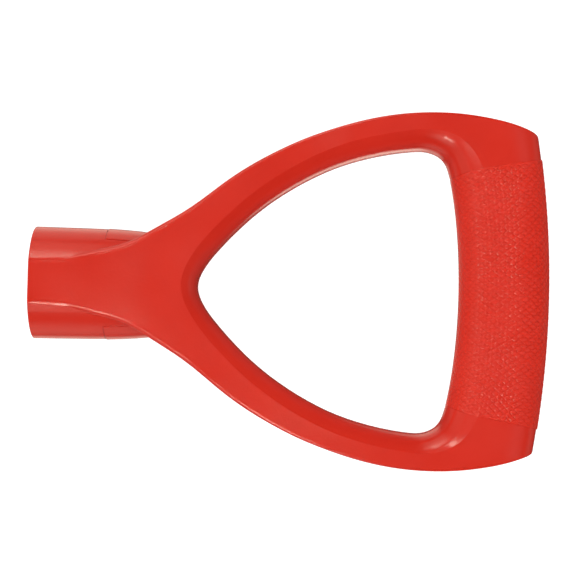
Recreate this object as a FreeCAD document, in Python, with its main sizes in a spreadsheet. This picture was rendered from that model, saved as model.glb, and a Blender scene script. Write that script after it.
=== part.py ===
import FreeCAD, Part
import os
import math
from FreeCAD import Vector, Placement, Rotation

# ---------------------------------------------------------------------------
# D-shaped shovel and spade grip, injection moulded.
#
# A round socket takes the tool's shaft.  It opens out into a Y of two arms,
# and a bowed crossbar joins the arms.  The arms are channels: a front and a
# rear flange with a web between them on the hand's side, open outwards and
# stiffened by cross ribs.  The crossbar is cored from both ends, each end is
# shut by a plug, and a soft knurled skin is moulded round its middle.
#
# Frame: origin at the centre of the socket's mouth, +X along the socket's
# axis towards the crossbar, +Z out of the front face, Y along the crossbar.
# Lengths in millimetres.
# ---------------------------------------------------------------------------

doc = FreeCAD.newDocument("d_grip")

sheet = doc.addObject("Spreadsheet::Sheet", "Dimensions")
DIMS = [
    ("overall_length", 184.95),
    ("overall_width", 127.2),
    ("socket_outer_radius", 20.15),
    ("socket_bore_radius", 15.0),
    ("socket_bore_depth", 46.0),
    ("mouth_edge_radius", 0.4),
    ("flat_blend_radius", 5.0),
    ("flat_blend_length", 20.0),
    ("arm_half_thickness", 12.3),
    ("flange_wall", 3.0),
    ("bow_radius", 350.0),
    ("outer_edge_radius", 1.0),
    ("mouth_end_radius", 2.2),
    ("corner_radius", 1.6),
    ("rib_thickness", 2.2),
    ("core_radius", 8.5),
    ("core_centre_x", 166.5),
    ("core_web_half", 5.0),
    ("plug_seat_radius", 10.0),
    ("plug_seat_y", 54.0),
    ("plug_cap_radius", 9.92),
    ("plug_cap_thickness", 3.4),
    ("plug_stem_radius", 8.44),
    ("plug_stem_length", 10.0),
    ("plug_stem_wall", 2.2),
    ("skin_thickness", 1.8),
    ("witness_start_x", 26.4),
    ("witness_half_height", 12.2),
    ("witness_step", 0.2),
    ("witness_groove", 0.45),
    ("gate_length", 5.4),
    ("gate_height", 1.1),
    ("gate_depth", 0.5),
    ("pad_half_height", 24.0),
]
for row, (alias, value) in enumerate(DIMS, start=1):
    sheet.set("A%d" % row, alias)
    sheet.set("B%d" % row, str(value))
    sheet.setAlias("B%d" % row, alias)
doc.recompute()


def dim(alias):
    return float(sheet.get(alias))


def bind(obj, prop, expression):
    obj.setExpression(prop, expression)


KX = dim("overall_length") / 184.95
KY = dim("overall_width") / 127.2
HALF = dim("arm_half_thickness")
BOW = dim("bow_radius")
BAR_FRONT_X = 184.6 * KX           # outermost line of the moulded crossbar, on the centre line
BOW_AXIS_X = BAR_FRONT_X - BOW


# ---------------------------------------------------------------------------
# Curves in plan.  Each is given for +Y and mirrored.
# ---------------------------------------------------------------------------

# outer edge of the flanges, from the socket's mouth round to past the crossbar
OUTER = [(1.0, 5.9), (5, 6.65), (10, 8.0), (14.7, 9.45), (18.9, 10.4), (23, 11.35), (27.3, 12.3),
         (31.6, 13.45), (35.4, 14.9), (38.9, 16.75), (45.9, 20.95), (52.95, 25.3), (60.05, 30.45), (67.05, 36.1), (74.15, 41.28),
         (81.25, 45.68), (88.3, 49.5), (95.35, 52.86), (102.4, 55.65), (109.5, 58.07),
         (116.55, 60.12), (123.6, 61.72), (130.65, 62.83), (137.7, 63.45), (144.8, 63.6),
         (151.85, 63.27), (158.9, 62.42), (165.95, 61.1), (173.05, 59.15), (180, 56.85),
         (186, 54.5), (192, 51.8)]

# edge of the hand opening at the parting plane, from its tip round to the crossbar
INNER = [(58.6, 0), (59.15, 3.1), (60.65, 6.3), (62.85, 9.65), (66.45, 14.0), (70.05, 17.98),
         (73.65, 21.63), (77.25, 25.05), (80.9, 28.15), (84.48, 30.95), (88.13, 33.53),
         (91.7, 35.85), (95.3, 38.02), (98.97, 40.03), (102.52, 41.83), (106.12, 43.47),
         (109.78, 44.92), (113.38, 46.17), (117.0, 47.25), (120.6, 48.2), (124.22, 49.02),
         (127.82, 49.7), (131.43, 50.25), (134.9, 50.65), (138.2, 50.8), (141.2, 50.35),
         (143.75, 49.3), (145.75, 47.7), (147.1, 45.6), (148.0, 43.1), (148.95, 39.9),
         (150.2, 35.2), (151.35, 29.0), (152.25, 21.8), (152.85, 14.2), (153.1, 7.0),
         (153.15, 0)]

# width of the bevel between that edge and the flat face, at the same points
BEVEL = [5.2, 5.2, 5.25, 5.3, 5.4, 5.5, 5.55, 5.6, 5.65, 5.7, 5.75, 5.8, 5.85, 5.9, 5.95,
         6.0, 6.05, 6.1, 6.1, 6.15, 6.15, 6.2, 6.25, 6.4, 6.65, 7.1, 7.8, 8.8, 9.8, 10.5,
         11.0, 11.2, 11.3, 11.3, 11.3, 11.3, 11.3]

# front face in side view: half thickness against distance along the axis
FACE = [(-6, 19.0), (0, 18.94), (6, 18.82), (12, 18.62), (24, 18.03), (36, 17.22), (46, 16.4), (55, 15.5),
        (66, 14.4), (78, 13.42), (90, 12.75), (102, 12.38), (114, 12.3)]


def spline(points, periodic=False, params=None):
    curve = Part.BSplineCurve()
    if params is None:
        curve.interpolate(Points=points, PeriodicFlag=periodic)
    else:
        curve.interpolate(Points=points, Parameters=params, PeriodicFlag=periodic)
    return curve


FACE_POINTS = [(x * KX, z * HALF / 12.3) for x, z in FACE]


def natural(xs, ys):
    # second derivatives of a natural cubic through the points
    n = len(xs)
    a = [0.0] * n
    u = [0.0] * n
    for i in range(1, n - 1):
        s = (xs[i] - xs[i - 1]) / (xs[i + 1] - xs[i - 1])
        p = s * a[i - 1] + 2
        a[i] = (s - 1) / p
        u[i] = (ys[i + 1] - ys[i]) / (xs[i + 1] - xs[i]) - (ys[i] - ys[i - 1]) / (xs[i] - xs[i - 1])
        u[i] = (6 * u[i] / (xs[i + 1] - xs[i - 1]) - s * u[i - 1]) / p
    for k in range(n - 2, -1, -1):
        a[k] = a[k] * a[k + 1] + u[k]
    return a


def cubic(xs, ys, x, second=None):
    second = second or natural(xs, ys)
    if x <= xs[0]:
        return ys[0]
    if x >= xs[-1]:
        return ys[-1]
    lo = 0
    while xs[lo + 1] < x:
        lo += 1
    h = xs[lo + 1] - xs[lo]
    p = (xs[lo + 1] - x) / h
    q = (x - xs[lo]) / h
    return p * ys[lo] + q * ys[lo + 1] + ((p ** 3 - p) * second[lo] + (q ** 3 - q) * second[lo + 1]) * h * h / 6


def face_height(x, y):
    reach = math.hypot(x - BOW_AXIS_X, y) + BOW_AXIS_X
    return cubic([p[0] for p in FACE_POINTS], [p[1] for p in FACE_POINTS], reach)


# ---------------------------------------------------------------------------
# Blank of the frame: the plan's outline, bounded in height by a profile turned
# about the crossbar's bow axis
# ---------------------------------------------------------------------------

def plan_wire(points, far_x=None):
    up = [Vector(x * KX, y * KY, 0) for x, y in points]
    down = [Vector(p.x, -p.y, 0) for p in up]
    edges = [spline(up).toShape(),
             Part.makeLine(up[-1], down[-1]),
             spline(down).toShape(),
             Part.makeLine(down[0], up[0])]
    return Part.Wire(Part.__sortEdges__(edges))


def feature(name, shape):
    obj = doc.addObject("Part::Feature", name)
    obj.Shape = shape
    return obj


def extrude(name, base, half_expression):
    obj = doc.addObject("Part::Extrusion", name)
    obj.Base = base
    obj.DirMode = "Custom"
    obj.Dir = Vector(0, 0, 1)
    obj.Solid = True
    bind(obj, "LengthFwd", half_expression)
    bind(obj, "LengthRev", half_expression)
    return obj


def boolean(kind, name, base, tool):
    obj = doc.addObject("Part::" + kind, name)
    obj.Base = base
    obj.Tool = tool
    obj.Refine = False
    return obj


def fuse(name, shapes):
    obj = doc.addObject("Part::MultiFuse", name)
    obj.Shapes = shapes
    obj.Refine = False
    return obj


outline = feature("frame_outline", Part.Face(plan_wire(OUTER)))
pad = extrude("frame_pad", outline, "Dimensions.pad_half_height")


NOSE = 11.5          # reach of the rounding on the outer side of the crossbar
NOSE_POWER = 2.3


def profile_wire(inset):
    # closed section in the XZ plane; inset 0 is the outside, a wall's thickness gives the inside
    tangent_x = BAR_FRONT_X - NOSE
    top = [Vector(x, 0, z - inset) for x, z in FACE_POINTS]
    bottom = [Vector(p.x, 0, -p.z) for p in top]
    reach, rise = NOSE - inset, HALF - inset
    nose = []
    for k in range(25):
        t = math.pi / 2 - math.pi * k / 24
        c, d = abs(math.cos(t)), abs(math.sin(t))
        nose.append(Vector(tangent_x + reach * c ** (2 / NOSE_POWER), 0,
                           math.copysign(rise * d ** (2 / NOSE_POWER), t)))
    edges = [spline(top).toShape(),
             Part.makeLine(top[-1], nose[0]),
             spline(nose).toShape(),
             Part.makeLine(nose[-1], bottom[-1]),
             spline(bottom).toShape(),
             Part.makeLine(bottom[0], top[0])]
    return Part.Wire(Part.__sortEdges__(edges))


def turned(name, source):
    obj = doc.addObject("Part::Revolution", name)
    obj.Source = source
    obj.Axis = Vector(0, 0, 1)
    obj.Base = Vector(BOW_AXIS_X, 0, 0)
    obj.Angle = 50.0
    obj.Symmetric = True
    obj.Solid = True
    return obj


outer_profile = feature("outer_profile", Part.Face(profile_wire(0.0)))
envelope = turned("outer_envelope", outer_profile)
inner_profile = feature("inner_profile", Part.Face(profile_wire(dim("flange_wall"))))
inner_envelope = turned("inner_envelope", inner_profile)

blank = boolean("Common", "frame_blank", pad, envelope)
doc.recompute()

# rounded outer edges of the flanges: fuller where they leave the socket, and at the crossbar's corners
radius, mouth_end, corner_end = dim("outer_edge_radius"), dim("mouth_end_radius"), dim("corner_radius")
edge_radii = []
for number, edge in enumerate(blank.Shape.Edges, start=1):
    box = edge.BoundBox
    if box.XLength < 5 or box.YMin < 1 and box.YMax > -1:
        continue
    if box.XMin < 20 * KX:
        first_is_mouth = edge.valueAt(edge.FirstParameter).x < edge.valueAt(edge.LastParameter).x
        edge_radii.append((number, mouth_end, radius) if first_is_mouth else (number, radius, mouth_end))
    elif box.ZLength > HALF:
        edge_radii.append((number, corner_end, corner_end))
    else:
        first_is_low = edge.valueAt(edge.FirstParameter).x < edge.valueAt(edge.LastParameter).x
        edge_radii.append((number, radius, corner_end) if first_is_low else (number, corner_end, radius))
rounded = doc.addObject("Part::Fillet", "frame_rounded")
rounded.Base = blank
rounded.Edges = edge_radii
doc.recompute()
print("rounded", rounded.State, rounded.Shape.isNull(), len(edge_radii))

# ---------------------------------------------------------------------------
# Socket: a turned, slightly waisted tube that dies away into the throat
# ---------------------------------------------------------------------------

TUBE = [(0, 20.05), (9, 19.96), (17, 19.88), (25.4, 19.72), (33, 19.35), (40, 18.75),
        (45, 17.95), (49, 16.95), (52.5, 15.7)]


SEAM = math.radians(33)          # the turned faces close away from the planes of symmetry


def tube_face(extra):
    scale = dim("socket_outer_radius") / 20.05

    def at(x, rad):
        return Vector(x, -rad * math.sin(SEAM), rad * math.cos(SEAM))

    line = [at(x * KX, rad * scale + extra) for x, rad in TUBE]
    end = TUBE[-1][0] * KX
    edges = [spline(line).toShape(),
             Part.makeLine(line[-1], Vector(end, 0, 0)),
             Part.makeLine(Vector(end, 0, 0), Vector(0, 0, 0)),
             Part.makeLine(Vector(0, 0, 0), line[0])]
    return Part.Face(Part.Wire(Part.__sortEdges__(edges)))


def spun(name, source):
    obj = doc.addObject("Part::Revolution", name)
    obj.Source = source
    obj.Axis = Vector(1, 0, 0)
    obj.Base = Vector(0, 0, 0)
    obj.Angle = 360.0
    obj.Solid = True
    return obj


tube_profile = feature("tube_profile", tube_face(0.0))
tube = spun("socket_tube", tube_profile)
patch_profile = feature("patch_profile", tube_face(dim("witness_step")))
patch_tube = spun("patch_tube", patch_profile)
patch_box = doc.addObject("Part::Box", "patch_box")
bind(patch_box, "Length", "46 - Dimensions.witness_start_x")
patch_box.Width = 60
bind(patch_box, "Height", "2 * Dimensions.witness_half_height")
bind(patch_box, "Placement.Base.x", "Dimensions.witness_start_x")
patch_box.Placement.Base.y = -30
bind(patch_box, "Placement.Base.z", "-Dimensions.witness_half_height")
patch = boolean("Common", "slide_patches", patch_tube, patch_box)
trimmed_tube = boolean("Common", "socket_trimmed", tube, envelope)


def block(name, start, length):
    obj = doc.addObject("Part::Box", name)
    obj.Placement.Base = Vector(0, -30, -30)
    bind(obj, "Placement.Base.x", start)
    bind(obj, "Length", length)
    obj.Width = 60
    obj.Height = 60
    return obj


# at the mouth the flat faces run softly into the round, and the end has an even edge
mouth_part = boolean("Common", "mouth_part", trimmed_tube,
                     block("mouth_space", "-1", "Dimensions.flat_blend_length + 1"))
throat_part = boolean("Common", "throat_part", trimmed_tube,
                      block("throat_space", "Dimensions.flat_blend_length", "60"))
doc.recompute()


def filleted(name, base, wanted, radius):
    obj = doc.addObject("Part::Fillet", name)
    obj.Base = base
    obj.Edges = [(number, radius, radius) for number, edge in enumerate(base.Shape.Edges, start=1) if wanted(edge)]
    doc.recompute()
    print(name, obj.State, obj.Shape.isNull() or obj.Shape.isValid(), len(obj.Edges))
    return obj


def is_crease(edge):
    box = edge.BoundBox
    middle = edge.valueAt((edge.FirstParameter + edge.LastParameter) / 2)
    return box.XLength > 15 and abs(middle.z) > 17.6 and abs(middle.y) > 4


blended = filleted("flat_blends", mouth_part, is_crease, dim("flat_blend_radius"))
mouth = filleted("mouth_rounded", blended, lambda edge: edge.BoundBox.XMax < 0.01 and edge.BoundBox.XLength < 0.01,
                 dim("mouth_edge_radius"))

# narrow witness grooves round the patches, where the moulds' side slides met
groove_profile = feature("groove_profile", tube_face(-dim("witness_groove")))
groove_floor = spun("groove_floor", groove_profile)


def witness_bar(name, x, length, z, height):
    obj = doc.addObject("Part::Box", name)
    obj.Length, obj.Width, obj.Height = length, 60, height
    obj.Placement.Base = Vector(x, -30, z)
    return obj


GROOVE = 0.34
top_z = dim("witness_half_height")
start_x = dim("witness_start_x")
witness_bars = fuse("witness_bars", [
    witness_bar("witness_end", start_x - GROOVE, GROOVE, -top_z - GROOVE, 2 * (top_z + GROOVE)),
    witness_bar("witness_top", start_x - GROOVE, 14.0, top_z, GROOVE),
    witness_bar("witness_bottom", start_x - GROOVE, 14.0, -top_z - GROOVE, GROOVE)])
witness_grooves = boolean("Cut", "witness_grooves", witness_bars, groove_floor)
doc.recompute()
print("tube", tube.Shape.isValid(), "patch", patch.Shape.isValid(), patch.State)

# ---------------------------------------------------------------------------
# Hand opening: a stack of level curves, bevelled up to the flat face and
# drafted from the parting plane
# ---------------------------------------------------------------------------

INNER_UP = [(x * KX, y * KY) for x, y in INNER]
LOOP = INNER_UP + [(x, -y) for x, y in INNER_UP[-2:0:-1]]
WIDTH = BEVEL + BEVEL[-2:0:-1]
COUNT = len(LOOP)
START = 20          # the level curves open and close part way along an arm
# how far a point is along the way from the arms' bevel (0) to the crossbar's round (1)
ROUND = [min(1.0, max(0.0, (w - 6.2) / 4.4)) for w in WIDTH]

loop_curve = spline([Vector(x, y, 0) for x, y in LOOP], True)
NORMAL = []
for x, y in LOOP:
    u = loop_curve.parameter(Vector(x, y, 0))
    t = loop_curve.tangent(u)[0]
    n = Vector(-t.y, t.x, 0)
    centre = Vector(115 * KX, 0, 0)
    if n.dot(Vector(x, y, 0) - centre) < 0:
        n = n * -1
    NORMAL.append(n)
TOP = []
for (x, y), n, w in zip(LOOP, NORMAL, WIDTH):
    TOP.append(face_height(x + n.x * w, y + n.y * w))

# share of the bevel's width that is cut away, against height over the parting plane
RISE = [0.0, 0.1, 0.203, 0.3, 0.407, 0.51, 0.61, 0.69, 0.772, 0.84, 0.91, 0.955, 1.0]
ARM_SHARE = [0.0, 0.008, 0.019, 0.036, 0.068, 0.118, 0.195, 0.285, 0.405, 0.53, 0.70, 0.845, 1.0]
BAR_SHARE = [0.0, 0.009, 0.024, 0.050, 0.090, 0.142, 0.210, 0.28, 0.368, 0.46, 0.59, 0.72, 1.0]


def share(rise, roundness):
    a = cubic(RISE, ARM_SHARE, rise)
    b = cubic(RISE, BAR_SHARE, rise)
    return a + (b - a) * roundness


# knot spacing common to every level, from the parting plane's curve
PARAMS = [0.0]
for k in range(COUNT):
    a, b = LOOP[(k + START) % COUNT], LOOP[(k + 1 + START) % COUNT]
    PARAMS.append(PARAMS[-1] + math.hypot(b[0] - a[0], b[1] - a[1]))


def level_wire(z, side):
    points = []
    for k in range(COUNT):
        i = (k + START) % COUNT
        if z < 0:
            q = z * 0.35
        elif z <= TOP[i]:
            q = share(z / TOP[i], ROUND[i]) * WIDTH[i]
        else:
            q = WIDTH[i] + (z - TOP[i]) * 1.6
        points.append(Vector(LOOP[i][0] + NORMAL[i].x * q, LOOP[i][1] + NORMAL[i].y * q, z * side))
    return Part.Wire(spline(points, True, PARAMS).toShape())


LEVELS = [-1.5, 0.0, 2.2, 4.4, 6.4, 8.2, 9.7, 10.8, 11.6, 12.3, 13.0, 14.0, 15.2, 16.6, 19.0]
cutter = feature("opening_half", Part.makeLoft([level_wire(z, 1) for z in LEVELS], True, False))

# ---------------------------------------------------------------------------
# Side channels of the arms, with cross ribs left standing
# ---------------------------------------------------------------------------

WEB = 4.4          # from the edge of the hand opening to the channel's floor
first = 4
last = 27
floor_up = [Vector(LOOP[i][0] + NORMAL[i].x * WEB, LOOP[i][1] + NORMAL[i].y * WEB, 0)
            for i in range(first, last)]


def channel_plan(side):
    floor = [Vector(p.x, p.y * side, 0) for p in floor_up]
    start = Vector(44 * KX, 12.0 * KY * side, 0)
    corner = Vector(44 * KX, 75 * KY * side, 0)
    end = Vector(floor[-1].x, 75 * KY * side, 0)
    edges = [Part.makeLine(start, floor[0]), spline(floor).toShape(), Part.makeLine(floor[-1], end),
             Part.makeLine(end, corner), Part.makeLine(corner, start)]
    return Part.Face(Part.Wire(Part.__sortEdges__(edges)))


RIB_AT = [8, 11, 14, 17, 20, 23]
channels = []
ribs = []
for side, word in ((1, "left"), (-1, "right")):
    plan = feature("channel_plan_" + word, channel_plan(side))
    prism = extrude("channel_prism_" + word, plan, "Dimensions.pad_half_height")
    channels.append(boolean("Common", "channel_" + word, prism, inner_envelope))
    for k in RIB_AT:
        rib = doc.addObject("Part::Box", "rib_%s_%d" % (word, k))
        rib.Length = 30
        bind(rib, "Width", "Dimensions.rib_thickness")
        rib.Height = 60
        n = NORMAL[k]
        angle = math.degrees(math.atan2(n.y * side, n.x))
        x, y = LOOP[k]
        rotation = Rotation(Vector(0, 0, 1), angle)
        corner = rotation.multVec(Vector(0, -dim("rib_thickness") / 2, -30))
        rib.Placement = Placement(Vector(x, y * side, 0) + corner, rotation)
        ribs.append(rib)
all_channels = fuse("channels", channels)
all_ribs = fuse("ribs", ribs)
hollow = boolean("Cut", "channel_hollows", all_channels, all_ribs)
doc.recompute()
print("hollow", hollow.Shape.isValid(), len(hollow.Shape.Solids))

def report(obj):
    shape = obj.Shape
    if shape.isNull():
        print(obj.Name, obj.State, "NULL")
    else:
        print(obj.Name, obj.State, shape.isValid(), "solids", len(shape.Solids), "faces", len(shape.Faces),
              "volume", round(shape.Volume))


front_box = doc.addObject("Part::Box", "front_half_space")
front_box.Length = 260
front_box.Width = 180
front_box.Height = 40
front_box.Placement.Base = Vector(-20, -90, 0)

half_plate = boolean("Common", "plate_half", rounded, front_box)
half_pierced = boolean("Cut", "plate_half_pierced", half_plate, cutter)
half_channelled = boolean("Cut", "plate_half_channelled", half_pierced, hollow)
socket_body = fuse("socket_body", [mouth, throat_part])
half_tube_blank = boolean("Common", "tube_half_blank", socket_body, front_box)
half_tube = boolean("Cut", "tube_half", half_tube_blank, witness_grooves)
half_patch = boolean("Common", "patch_half", patch, front_box)
half_socket = fuse("socket_half", [half_tube, half_patch])
doc.recompute()
for o in (cutter, half_plate, half_pierced, half_channelled, half_tube, half_patch, half_socket):
    report(o)
with_tube = fuse("half_with_socket", [half_channelled, half_socket])
doc.recompute()
report(with_tube)

# ---------------------------------------------------------------------------
# Crossbar: a bowed core of rounded section inside a knurled skin
# ---------------------------------------------------------------------------

# ends of the skin in plan
BAND = [(138, 34.6), (145, 38.9), (150, 41.2), (155, 43.0), (160, 44.1), (165, 45.0), (169, 45.75),
        (175, 46.85), (181, 48.2), (194, 51.6)]
band_plan = feature("band_plan", Part.Face(plan_wire(BAND)))
band = extrude("band_block", band_plan, "Dimensions.pad_half_height")

SKIN_PROUD_OUT = dim("overall_length") - BAR_FRONT_X


def skin_edge(y):
    # inner edge of the skin in plan
    return (152.65 - 0.00215 * y ** 2 - 1.74e-7 * y ** 4) * KX


def edge_reach(angle):
    # distance of that edge from the bow's axis, along a ray at this angle
    reach = 152.65 * KX - BOW_AXIS_X
    for _ in range(20):
        y = reach * math.sin(angle)
        reach = (skin_edge(y) - BOW_AXIS_X) / math.cos(angle)
    return reach


def end_height(from_inside, from_outside):
    # height of the frame's own section beside the skin
    z = HALF
    if from_inside < 11.2:
        lo, hi = 0.0, 1.0
        for _ in range(40):
            mid = (lo + hi) / 2
            if cubic(RISE, BAR_SHARE, mid) * 11.2 < from_inside:
                lo = mid
            else:
                hi = mid
        z = min(z, HALF * lo)
    if from_outside < NOSE:
        c = 1 - max(0.0, from_outside) / NOSE
        z = min(z, HALF * max(0.0, 1 - c ** NOSE_POWER) ** (1 / NOSE_POWER))
    return z


def end_reach(u, half):
    # distance from the section's middle to the frame's own section, in direction u
    cu, su = math.cos(u), abs(math.sin(u))
    lo, hi = 0.0, 40.0
    for _ in range(40):
        mid = (lo + hi) / 2
        across = mid * cu
        if abs(across) >= half or mid * su > end_height(half + across, half - across):
            hi = mid
        else:
            lo = mid
    return lo


def full_reach(u, half, rise, power):
    return (abs(math.cos(u) / half) ** power + abs(math.sin(u) / rise) ** power) ** (-1 / power)


def bar_section(angle, inset):
    near, far = edge_reach(angle), BOW + SKIN_PROUD_OUT
    middle, half = (near + far) / 2, (far - near) / 2
    swell = max(0.0, 1 - (angle / math.radians(7.7)) ** 2)
    swell = swell * swell * (3 - 2 * swell)
    points = []
    count = 44
    for k in range(count):
        u = 2 * math.pi * (k + 0.5) / count + 0.7
        own = end_reach(u, half) + 0.22 * abs(math.sin(u))
        full = full_reach(u, half, 14.0, 2.5)
        scale = own + (full - own) * swell - inset
        reach, z = middle + scale * math.cos(u), scale * math.sin(u)
        points.append(Vector(BOW_AXIS_X + reach * math.cos(angle), reach * math.sin(angle), z))
    return Part.Wire(spline(points, True).toShape())


def bar_loft(name, inset, spread):
    stations = [math.radians(spread * (k - 8) / 8) for k in range(17)]
    return feature(name, Part.makeLoft([bar_section(a, inset) for a in stations], True, False))


core = bar_loft("crossbar_core", dim("skin_thickness"), 9.6)
skin_blank = bar_loft("skin_blank", 0.0, 9.6)
skin_trimmed = boolean("Common", "skin_trimmed", skin_blank, band)
skin_sleeve = boolean("Cut", "skin_sleeve", skin_trimmed, core)
gate = doc.addObject("Part::Box", "gate_notch")
bind(gate, "Width", "Dimensions.gate_length")
bind(gate, "Height", "Dimensions.gate_height")
bind(gate, "Length", "Dimensions.gate_depth + 4")
bind(gate, "Placement.Base.y", "-Dimensions.gate_length / 2")
bind(gate, "Placement.Base.z", "-Dimensions.gate_height / 2")
gate.Placement.Base.x = skin_edge(0.0) - 4
grip_skin = boolean("Cut", "grip_skin", skin_sleeve, gate)
grip_skin.Label = "grip_skin"
doc.recompute()
for o in (core, skin_blank, skin_trimmed, skin_sleeve, grip_skin):
    report(o)

ends_only = boolean("Cut", "half_without_band", with_tube, band)
core_half = boolean("Common", "core_half", core, front_box)
with_core = fuse("half_with_core", [ends_only, core_half])
doc.recompute()
report(ends_only)
report(with_core)


# ---------------------------------------------------------------------------
# Bores: the shaft's socket, and the crossbar cored from both ends
# ---------------------------------------------------------------------------

def cylinder(name, radius, height, base_x, base_y, axis):
    obj = doc.addObject("Part::Cylinder", name)
    bind(obj, "Radius", radius)
    bind(obj, "Height", height)
    obj.Placement = Placement(Vector(0, 0, 0), Rotation(Vector(0, 0, 1), axis))
    bind(obj, "Placement.Base.x", base_x)
    bind(obj, "Placement.Base.y", base_y)
    return obj


ALONG_X = Vector(1, 0, 0)
bore = cylinder("shaft_bore", "Dimensions.socket_bore_radius", "Dimensions.socket_bore_depth + 5", "-5", "0", ALONG_X)
tools = []
plugs = []
for side, word in ((1, "left"), (-1, "right")):
    way = Vector(0, side, 0)
    flip = "" if side > 0 else "-"
    tools.append(cylinder("core_hole_" + word, "Dimensions.core_radius", "90", "Dimensions.core_centre_x",
                          flip + "Dimensions.core_web_half", way))
    tools.append(cylinder("plug_seat_" + word, "Dimensions.plug_seat_radius", "40", "Dimensions.core_centre_x",
                          flip + "Dimensions.plug_seat_y", way))
    cap = cylinder("plug_cap_" + word, "Dimensions.plug_cap_radius", "Dimensions.plug_cap_thickness",
                   "Dimensions.core_centre_x", flip + "Dimensions.plug_seat_y", way)
    stem = cylinder("plug_stem_" + word, "Dimensions.plug_stem_radius", "Dimensions.plug_stem_length + 1",
                    "Dimensions.core_centre_x",
                    flip + "(Dimensions.plug_seat_y - Dimensions.plug_stem_length)", way)
    hollow_stem = cylinder("plug_hollow_" + word, "Dimensions.plug_stem_radius - Dimensions.plug_stem_wall",
                           "Dimensions.plug_stem_length + 4", "Dimensions.core_centre_x",
                           flip + "(Dimensions.plug_seat_y - Dimensions.plug_stem_length) - %d" % (4 * side), way)
    solid_plug = fuse("plug_solid_" + word, [cap, stem])
    plug = boolean("Cut", "end_plug_" + word, solid_plug, hollow_stem)
    plug.Label = "end_plug_" + word
    plugs.append(plug)
crossbar_tools = fuse("crossbar_tools", tools)
cored_half = boolean("Cut", "cored_half", with_core, crossbar_tools)
doc.recompute()
report(cored_half)

# the rear half is the front half mirrored; they meet at the parting plane
rear_half = doc.addObject("Part::Mirroring", "rear_half")
rear_half.Source = cored_half
rear_half.Base = Vector(0, 0, 0)
rear_half.Normal = Vector(0, 0, 1)
both_halves = fuse("both_halves", [cored_half, rear_half])
doc.recompute()
report(both_halves)
yoke = boolean("Cut", "yoke_frame", both_halves, bore)
yoke.Label = "yoke_frame"
doc.recompute()
report(yoke)
for plug in plugs:
    report(plug)

# ---------------------------------------------------------------------------
# Checks and export
# ---------------------------------------------------------------------------

NODES = [yoke, grip_skin] + plugs
doc.recompute()
for obj in doc.Objects:
    if "Invalid" in obj.State or "Error" in obj.State:
        raise RuntimeError("%s: %s" % (obj.Name, obj.State))
for obj in NODES:
    if obj.Shape.isNull() or not obj.Shape.isValid() or len(obj.Shape.Solids) != 1:
        raise RuntimeError("bad shape: " + obj.Label)

os.makedirs("parts", exist_ok=True)
for obj in NODES:
    obj.Shape.Solids[0].exportStep("parts/%s.step" % obj.Label)
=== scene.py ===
import math

import bpy
import numpy as np
from mathutils import Matrix, Vector


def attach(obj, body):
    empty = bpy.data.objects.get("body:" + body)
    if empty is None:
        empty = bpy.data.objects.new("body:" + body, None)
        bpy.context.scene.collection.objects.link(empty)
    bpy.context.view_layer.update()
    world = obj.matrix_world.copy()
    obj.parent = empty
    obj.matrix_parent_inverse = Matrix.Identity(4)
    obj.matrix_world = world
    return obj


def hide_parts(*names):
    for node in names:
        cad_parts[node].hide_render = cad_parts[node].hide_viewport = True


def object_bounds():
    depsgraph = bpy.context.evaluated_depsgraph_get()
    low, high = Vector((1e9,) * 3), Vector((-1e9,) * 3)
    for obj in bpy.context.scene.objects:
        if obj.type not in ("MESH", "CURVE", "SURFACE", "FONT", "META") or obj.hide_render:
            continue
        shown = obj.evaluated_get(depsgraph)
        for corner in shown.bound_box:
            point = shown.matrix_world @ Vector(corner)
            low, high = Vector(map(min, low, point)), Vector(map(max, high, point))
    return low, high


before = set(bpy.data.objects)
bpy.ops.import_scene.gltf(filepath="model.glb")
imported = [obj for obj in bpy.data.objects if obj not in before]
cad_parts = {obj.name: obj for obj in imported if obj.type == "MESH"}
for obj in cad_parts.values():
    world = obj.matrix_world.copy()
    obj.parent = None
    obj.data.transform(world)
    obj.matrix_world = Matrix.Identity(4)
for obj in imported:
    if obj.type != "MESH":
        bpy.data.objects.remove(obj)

CAD_LOW, CAD_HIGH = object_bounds()
MM = 0.001

scene = bpy.context.scene
scene.view_settings.view_transform = "Standard"
scene.view_settings.look = "None"
scene.view_settings.exposure = 0.0
scene.view_settings.gamma = 1.0


# ---------------------------------------------------------------------------
# Camera: almost square on to the front face, rolled and pitched slightly
# ---------------------------------------------------------------------------

ROLL = math.radians(1.425)
PITCH = math.radians(2.2)
camera_data = bpy.data.cameras.new("camera")
camera = bpy.data.objects.new("camera", camera_data)
scene.collection.objects.link(camera)
scene.camera = camera
camera_data.sensor_width = 36.0
camera_data.lens = 103.3
right = Vector((math.cos(ROLL), math.sin(ROLL) * math.cos(PITCH), math.sin(ROLL) * math.sin(PITCH)))
up = Vector((-math.sin(ROLL), math.cos(ROLL) * math.cos(PITCH), math.cos(ROLL) * math.sin(PITCH)))
back = right.cross(up)
turn = Matrix((right, up, back)).transposed().to_4x4()
camera.matrix_world = Matrix.Translation((0.0918, -0.0235, 0.5995)) @ turn


# ---------------------------------------------------------------------------
# Node helpers
# ---------------------------------------------------------------------------

def new_material(name):
    material = bpy.data.materials.new(name)
    material.use_nodes = True
    tree = material.node_tree
    for node in list(tree.nodes):
        tree.nodes.remove(node)
    out = tree.nodes.new("ShaderNodeOutputMaterial")
    shader = tree.nodes.new("ShaderNodeBsdfPrincipled")
    tree.links.new(shader.outputs["BSDF"], out.inputs["Surface"])
    return material, tree, shader


def noise(tree, scale, detail=3.0, rough=0.55, coords=None):
    node = tree.nodes.new("ShaderNodeTexNoise")
    node.inputs["Scale"].default_value = scale
    node.inputs["Detail"].default_value = detail
    node.inputs["Roughness"].default_value = rough
    if coords is not None:
        tree.links.new(coords, node.inputs["Vector"])
    return node


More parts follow.
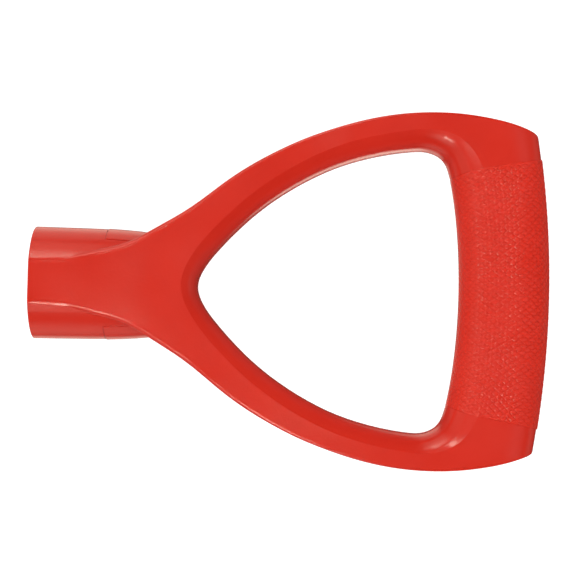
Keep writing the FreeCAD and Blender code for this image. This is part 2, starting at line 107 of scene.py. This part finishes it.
def ramp(tree, value, low, high, a, b):
    node = tree.nodes.new("ShaderNodeMapRange")
    node.inputs["From Min"].default_value = low
    node.inputs["From Max"].default_value = high
    node.inputs["To Min"].default_value = a
    node.inputs["To Max"].default_value = b
    tree.links.new(value, node.inputs["Value"])
    return node


def blend_colours(tree, factor, a, b):
    node = tree.nodes.new("ShaderNodeMix")
    node.data_type = "RGBA"
    node.inputs["A"].default_value = (*a, 1)
    node.inputs["B"].default_value = (*b, 1)
    tree.links.new(factor, node.inputs["Factor"])
    return node


def moulded_plastic(name, deep, light, rough_low, rough_high, grain, grain_depth, wave_depth):
    """Pigmented moulded plastic: faint flow marks in the colour, uneven gloss, fine spark-eroded grain."""
    material, tree, shader = new_material(name)
    coords = tree.nodes.new("ShaderNodeTexCoord").outputs["Object"]
    flow = noise(tree, 34.0, 4.0, 0.6, coords)
    level = ramp(tree, flow.outputs["Fac"], 0.25, 0.75, 0.0, 1.0)
    colour = blend_colours(tree, level.outputs["Result"], deep, light)
    tree.links.new(colour.outputs["Result"], shader.inputs["Base Color"])
    gloss = noise(tree, 60.0, 3.0, 0.5, coords)
    rough = ramp(tree, gloss.outputs["Fac"], 0.25, 0.75, rough_low, rough_high)
    tree.links.new(rough.outputs["Result"], shader.inputs["Roughness"])
    fine = noise(tree, grain, 2.0, 0.5, coords)
    bump = tree.nodes.new("ShaderNodeBump")
    bump.inputs["Strength"].default_value = 1.0
    bump.inputs["Distance"].default_value = grain_depth
    tree.links.new(fine.outputs["Fac"], bump.inputs["Height"])
    slow = noise(tree, 1200.0, 2.0, 0.5, coords)
    sink = tree.nodes.new("ShaderNodeBump")
    sink.inputs["Strength"].default_value = 1.0
    sink.inputs["Distance"].default_value = wave_depth
    tree.links.new(slow.outputs["Fac"], sink.inputs["Height"])
    tree.links.new(bump.outputs["Normal"], sink.inputs["Normal"])
    tree.links.new(sink.outputs["Normal"], shader.inputs["Normal"])
    shader.inputs["Specular IOR Level"].default_value = 0.5
    shader.inputs["IOR"].default_value = 1.49
    return material


RED_DEEP = (0.618, 0.0222, 0.0115)
RED_LIGHT = (0.678, 0.0290, 0.0160)
frame_plastic = moulded_plastic("frame_plastic", RED_DEEP, RED_LIGHT, 0.13, 0.24, 2600.0, 0.000004, 0.000040)
skin_plastic = moulded_plastic("skin_plastic", (0.665, 0.0240, 0.0118), (0.725, 0.0305, 0.0158), 0.15, 0.26,
                               3200.0, 0.000006, 0.000012)
next(n for n in skin_plastic.node_tree.nodes if n.type == "BSDF_PRINCIPLED").inputs["Specular IOR Level"].default_value = 0.46
plug_plastic = moulded_plastic("plug_plastic", (0.560, 0.0210, 0.0130), (0.610, 0.0270, 0.0170), 0.24, 0.36,
                               2600.0, 0.000006, 0.000022)


# ---------------------------------------------------------------------------
# Carried-over CAD nodes
# ---------------------------------------------------------------------------

def dress(node, material):
    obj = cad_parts[node]
    obj.data.materials.clear()
    obj.data.materials.append(material)
    return obj


dress("yoke_frame", frame_plastic)
for word in ("left", "right"):
    dress("end_plug_" + word, plug_plastic)


# ---------------------------------------------------------------------------
# Knurled skin: the CAD sleeve's own surface, with the diamond knurl cut into it
# ---------------------------------------------------------------------------

HALF = 12.3
BOW = 350.0
BAR_FRONT_X = 184.6
BOW_AXIS_X = BAR_FRONT_X - BOW
OVERALL = 184.95
PROUD_OUT = OVERALL - BAR_FRONT_X
THICKNESS = 1.8
NOSE = 11.5
NOSE_POWER = 2.3
ROUND_WIDTH = 11.2
BAND = [(138, 34.6), (145, 38.9), (150, 41.2), (155, 43.0), (160, 44.1), (165, 45.0), (169, 45.75),
        (175, 46.85), (181, 48.2), (194, 51.6)]
RISE = np.array([0.0, 0.1, 0.203, 0.3, 0.407, 0.51, 0.61, 0.69, 0.772, 0.84, 0.91, 0.955, 1.0])
BAR_SHARE = np.array([0.0, 0.009, 0.024, 0.050, 0.090, 0.142, 0.210, 0.28, 0.368, 0.46, 0.59, 0.72, 1.0])


def natural(xs, ys):
    n = len(xs)
    a = np.zeros(n)
    u = np.zeros(n)
    for i in range(1, n - 1):
        s = (xs[i] - xs[i - 1]) / (xs[i + 1] - xs[i - 1])
        p = s * a[i - 1] + 2
        a[i] = (s - 1) / p
        u[i] = (ys[i + 1] - ys[i]) / (xs[i + 1] - xs[i]) - (ys[i] - ys[i - 1]) / (xs[i] - xs[i - 1])
        u[i] = (6 * u[i] / (xs[i + 1] - xs[i - 1]) - s * u[i - 1]) / p
    for k in range(n - 2, -1, -1):
        a[k] = a[k] * a[k + 1] + u[k]
    return a


def cubic(xs, ys, second, x):
    x = np.clip(x, xs[0], xs[-1])
    lo = np.clip(np.searchsorted(xs, x, side="right") - 1, 0, len(xs) - 2)
    h = xs[lo + 1] - xs[lo]
    p = (xs[lo + 1] - x) / h
    q = (x - xs[lo]) / h
    return p * ys[lo] + q * ys[lo + 1] + ((p ** 3 - p) * second[lo] + (q ** 3 - q) * second[lo + 1]) * h * h / 6


BAND_X = np.array([x for x, y in BAND], float)
BAND_Y = np.array([y for x, y in BAND], float)
BAND_S = natural(BAND_X, BAND_Y)
SHARE_S = natural(RISE, BAR_SHARE)
# height of the frame's own section against the distance in from its inner edge
fine_rise = np.linspace(0, 1, 2001)
fine_share = np.maximum.accumulate(cubic(RISE, BAR_SHARE, SHARE_S, fine_rise)) * ROUND_WIDTH


def edge_reach(angle):
    reach = np.full_like(angle, 152.65 - BOW_AXIS_X)
    for _ in range(20):
        y = reach * np.sin(angle)
        reach = (152.65 - 0.00215 * y ** 2 - 1.74e-7 * y ** 4 - BOW_AXIS_X) / np.cos(angle)
    return reach


def end_height(from_inside, from_outside):
    z = HALF * np.interp(from_inside, fine_share, fine_rise)
    c = np.clip(1 - np.maximum(from_outside, 0) / NOSE, 0, 1)
    return np.minimum(z, HALF * np.maximum(0.0, 1 - c ** NOSE_POWER) ** (1 / NOSE_POWER))


def end_reach(u, half):
    cu, su = np.cos(u), np.abs(np.sin(u))
    lo, hi = np.zeros_like(u * half), np.full_like(u * half, 40.0)
    for _ in range(34):
        mid = (lo + hi) / 2
        across = mid * cu
        out = (np.abs(across) >= half) | (mid * su > end_height(half + across, half - across))
        hi = np.where(out, mid, hi)
        lo = np.where(out, lo, mid)
    return lo


def bar_reach(angle, u):
    """Distance from the section's middle to the sleeve's surface, and that middle's reach."""
    near, far = edge_reach(angle), BOW + PROUD_OUT
    middle, half = (near + far) / 2, (far - near) / 2
    swell = np.maximum(0.0, 1 - (angle / math.radians(7.7)) ** 2)
    swell = swell * swell * (3 - 2 * swell)
    own = end_reach(u, half) + 0.22 * np.abs(np.sin(u))
    full = (np.abs(np.cos(u) / half) ** 2.5 + np.abs(np.sin(u) / 14.0) ** 2.5) ** (-1 / 2.5)
    return middle, own + (full - own) * swell


def bar_point(angle, u, inset):
    """Point of the bar's surface at a bow angle and an angle round the section, both arrays."""
    middle, scale = bar_reach(angle, u)
    scale = scale - inset
    reach, z = middle + scale * np.cos(u), scale * np.sin(u)
    return np.stack([BOW_AXIS_X + reach * np.cos(angle), reach * np.sin(angle), z], -1)


# angles round the section at equal steps of its length, starting on the hand's side
dense = np.linspace(0, 2 * math.pi, 7201) + math.pi
ring = bar_point(np.zeros_like(dense), dense, 0.0)
steps = np.linalg.norm(np.diff(ring, axis=0), axis=1)
length = np.concatenate([[0], np.cumsum(steps)])
GIRTH = length[-1]
ROUND_COUNT = 30
PITCH_ROUND = GIRTH / ROUND_COUNT
PITCH_ALONG = 2.32
PER = 14
COLS = ROUND_COUNT * PER
ROWS = int(round(96 / PITCH_ALONG * (PER - 2)))
col_length = np.arange(COLS) / COLS * GIRTH
col_u = np.interp(col_length, length, dense)

# where the sleeve ends, for each line along it
end_angle = np.full(COLS, math.radians(8.0))
for _ in range(12):
    p = bar_point(end_angle, col_u, 0.0)
    y = cubic(BAND_X, BAND_Y, BAND_S, p[:, 0])
    end_angle = np.arctan2(y, p[:, 0] - BOW_AXIS_X)

KNURL_DEPTH = 0.42
LAND = 1.1           # plain strip along the parting line


def knurl(angle, u, around):
    along = angle * (BOW - 15.0)
    p = around / PITCH_ROUND
    q = along / PITCH_ALONG
    g1 = np.abs(np.sin(math.pi * (p + q)))
    g2 = np.abs(np.sin(math.pi * (p - q)))
    crest = (1 - (1 - g1) ** 3.4) * (1 - (1 - g2) ** 3.4)
    # shallower on the hand's side
    return KNURL_DEPTH * (1 - crest) * (1 - 0.35 * np.clip((-np.cos(u) - 0.6) / 0.3, 0, 1))


def strip(z, margin):
    """0 on the plain strip, 1 on the knurl."""
    return np.clip((np.abs(z) - margin) / 0.7, 0, 1)


share = np.linspace(-1, 1, ROWS)
outer = []
for s in share:
    angle = end_angle * s
    surface = bar_point(angle, col_u, 0.0)
    # distance to the sleeve's end, to fade the knurl in
    to_end = (1 - abs(s)) * end_angle * BOW
    fade = np.clip((to_end - 0.12) / 0.7, 0, 1) * strip(surface[:, 2], LAND)
    cut = knurl(angle, col_u, col_length) * fade
    # short blind slot on the hand's side, where the parting line crosses the bar's middle
    slot = np.clip((2.7 - np.abs(surface[:, 1])) / 0.3, 0, 1) * np.clip((0.62 - np.abs(surface[:, 2])) / 0.25, 0, 1)
    cut = np.maximum(cut, 0.5 * slot * (np.cos(col_u) < 0))
    # the sleeve stands a little proud of the frame and comes down to it at its ends
    drop = 0.22 * np.abs(np.sin(col_u)) * np.clip(1 - to_end / 0.5, 0, 1) ** 2
    outer.append(bar_point(angle, col_u, cut + drop + 0.004))
outer = np.array(outer)

inner = []
inner_share = np.linspace(1, -1, 25)
for s in inner_share:
    inner.append(bar_point(end_angle * s, col_u, THICKNESS - 0.02))
inner = np.array(inner)
rows = np.concatenate([outer, inner])
count = len(rows)
verts = rows.reshape(-1, 3) * MM
base = np.arange(COLS)
faces = []
for r in range(count):
    a = r * COLS + base
    b = ((r + 1) % count) * COLS + base
    a2 = r * COLS + (base + 1) % COLS
    b2 = ((r + 1) % count) * COLS + (base + 1) % COLS
    faces.append(np.stack([a, a2, b2, b], -1))
faces = np.concatenate(faces)


def mesh_object(name, verts, faces, material):
    mesh = bpy.data.meshes.new(name)
    mesh.vertices.add(len(verts))
    mesh.vertices.foreach_set("co", np.asarray(verts, np.float32).ravel())
    mesh.loops.add(faces.size)
    mesh.loops.foreach_set("vertex_index", faces.ravel().astype(np.int32))
    mesh.polygons.add(len(faces))
    mesh.polygons.foreach_set("loop_start", (np.arange(len(faces)) * faces.shape[1]).astype(np.int32))
    mesh.polygons.foreach_set("loop_total", np.full(len(faces), faces.shape[1], np.int32))
    mesh.update(calc_edges=True)
    mesh.validate()
    mesh.materials.append(material)
    mesh.polygons.foreach_set("use_smooth", np.ones(len(faces), bool))
    obj = bpy.data.objects.new(name, mesh)
    scene.collection.objects.link(obj)
    return obj


skin = mesh_object("knurled_skin", verts, faces, skin_plastic)
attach(skin, "root")
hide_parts("grip_skin")


# ---------------------------------------------------------------------------
# Floor and lights
# ---------------------------------------------------------------------------

floor_z = CAD_LOW.z - 0.0002 if hasattr(CAD_LOW, "z") else CAD_LOW[2] - 0.0002
floor_mesh = bpy.data.meshes.new("floor")
reach = 3.0
floor_mesh.from_pydata([(-reach, -reach, floor_z), (reach, -reach, floor_z), (reach, reach, floor_z),
                        (-reach, reach, floor_z)], [], [(0, 1, 2, 3)])
floor = bpy.data.objects.new("floor", floor_mesh)
scene.collection.objects.link(floor)
floor_material, tree, shader = new_material("floor_pale")
shader.inputs["Base Color"].default_value = (0.30, 0.30, 0.30, 1)
shader.inputs["Roughness"].default_value = 0.9
shader.inputs["Specular IOR Level"].default_value = 0.0
shader.inputs["Emission Color"].default_value = (1, 1, 1, 1)
shader.inputs["Emission Strength"].default_value = 1.0
floor_mesh.materials.append(floor_material)
floor.visible_glossy = False

# Pale backdrop, seen but lighting nothing
steps_round, steps_up, dome_radius = 48, 12, 6.0
dome_verts = []
for k in range(steps_up):
    lift_angle = math.radians(-6 + 96 * k / steps_up)
    for i in range(steps_round):
        turn_angle = 2 * math.pi * i / steps_round
        dome_verts.append((dome_radius * math.cos(lift_angle) * math.cos(turn_angle),
                           dome_radius * math.cos(lift_angle) * math.sin(turn_angle), dome_radius * math.sin(lift_angle)))
dome_verts.append((0.0, 0.0, dome_radius))
dome_faces = [(k * steps_round + i, k * steps_round + (i + 1) % steps_round,
               (k + 1) * steps_round + (i + 1) % steps_round, (k + 1) * steps_round + i)
              for k in range(steps_up - 1) for i in range(steps_round)]
dome_faces += [((steps_up - 1) * steps_round + i, (steps_up - 1) * steps_round + (i + 1) % steps_round, len(dome_verts) - 1)
               for i in range(steps_round)]
dome_mesh = bpy.data.meshes.new("backdrop")
dome_mesh.from_pydata(dome_verts, [], dome_faces)
dome = bpy.data.objects.new("backdrop", dome_mesh)
scene.collection.objects.link(dome)
dome_material, tree, shader = new_material("backdrop_pale")
shader.inputs["Base Color"].default_value = (0, 0, 0, 1)
shader.inputs["Specular IOR Level"].default_value = 0.0
shader.inputs["Emission Color"].default_value = (0.86, 0.86, 0.86, 1)
shader.inputs["Emission Strength"].default_value = 1.0
dome_mesh.materials.append(dome_material)
dome.visible_diffuse = False
dome.visible_glossy = False
dome.visible_shadow = False

# Studio surroundings: dark, with soft cards placed round the object
world = bpy.data.worlds.new("studio")
scene.world = world
world.use_nodes = True
tree = world.node_tree
background = tree.nodes["Background"]
coords = tree.nodes.new("ShaderNodeTexCoord").outputs["Generated"]


def toward(azimuth, tilt):
    """Direction at this compass angle from +X, turning to +Y, and this angle from straight up."""
    a, t = math.radians(azimuth), math.radians(tilt)
    return Vector((math.sin(t) * math.cos(a), math.sin(t) * math.sin(a), math.cos(t)))


# compass angle, angle from straight up, radius of the full part, radius of the faded edge, level
CARDS = [
    (108, 60, 8, 18, 2.20),
    (109, 77, 8, 24, 0.90),
    (104, 118, 10, 26, 0.60),
    (104, 140, 6, 26, 0.90),
    (249, 57, 6, 20, 1.10),
    (252, 112, 10, 28, 0.45),
    (258, 158, 6, 17, 0.80),
    (293, 156, 5, 12, 1.90),
    (180, 158, 4, 12, 0.80),
    (0, 106, 8, 24, 0.20),
    (180, 75, 20, 55, 0.50),
]
total = None
for azimuth, tilt, full, faded, level in CARDS:
    dot = tree.nodes.new("ShaderNodeVectorMath")
    dot.operation = "DOT_PRODUCT"
    tree.links.new(coords, dot.inputs[0])
    dot.inputs[1].default_value = toward(azimuth, tilt)
    card = tree.nodes.new("ShaderNodeMapRange")
    card.interpolation_type = "SMOOTHSTEP"
    card.inputs["From Min"].default_value = math.cos(math.radians(faded))
    card.inputs["From Max"].default_value = math.cos(math.radians(full))
    card.inputs["To Min"].default_value = 0.0
    card.inputs["To Max"].default_value = level
    tree.links.new(dot.outputs["Value"], card.inputs["Value"])
    if total is None:
        total = card.outputs["Result"]
    else:
        add = tree.nodes.new("ShaderNodeMath")
        add.operation = "MAXIMUM"
        tree.links.new(total, add.inputs[0])
        tree.links.new(card.outputs["Result"], add.inputs[1])
        total = add.outputs["Value"]
lift = tree.nodes.new("ShaderNodeMath")
lift.operation = "ADD"
lift.inputs[1].default_value = 0.04
tree.links.new(total, lift.inputs[0])
tree.links.new(lift.outputs["Value"], background.inputs["Strength"])
WARM = (1.0, 0.985, 0.83)
background.inputs["Color"].default_value = (*WARM, 1)

CENTRE = Vector((0.092, 0.0, 0.0))


def softbox(name, across, along, height, size_x, size_y, power, glossy=True):
    """Rectangular light over a point given as shares of its height from above the object's middle."""
    data = bpy.data.lights.new(name, "AREA")
    data.shape = "RECTANGLE"
    data.size = size_x
    data.size_y = size_y
    data.energy = power
    if glossy:
        data.color = WARM
    obj = bpy.data.objects.new(name, data)
    scene.collection.objects.link(obj)
    way = Vector((across, along, 1.0)).normalized()
    side = Vector((1, 0, 0))
    side = (side - way * side.dot(way)).normalized()
    turn = Matrix((side, way.cross(side), way)).transposed().to_4x4()
    obj.matrix_world = Matrix.Translation(CENTRE + Vector((across, along, 1.0)) * height) @ turn
    obj.visible_glossy = glossy
    return obj


softbox("near_strip", -0.285, -0.80, 0.60, 0.045, 0.16, 0.80)
softbox("near_spot", -0.090, -0.119, 0.70, 0.036, 0.036, 0.19)
softbox("far_spot", -0.134, 0.368, 0.50, 0.040, 0.040, 0.190)
softbox("far_strip", -0.250, 1.24, 1.25, 0.14, 0.70, 1.20)
softbox("overhead_soft", -0.20, 0.0, 1.60, 2.2, 2.2, 7.8, glossy=False)
softbox("far_soft", -0.50, 1.00, 1.10, 1.3, 0.9, 4.8, glossy=False)
softbox("near_soft", -0.60, -1.40, 0.90, 1.3, 0.9, 4.4, glossy=False)
softbox("right_soft", 0.95, 0.0, 1.15, 1.3, 1.3, 11.6, glossy=False)
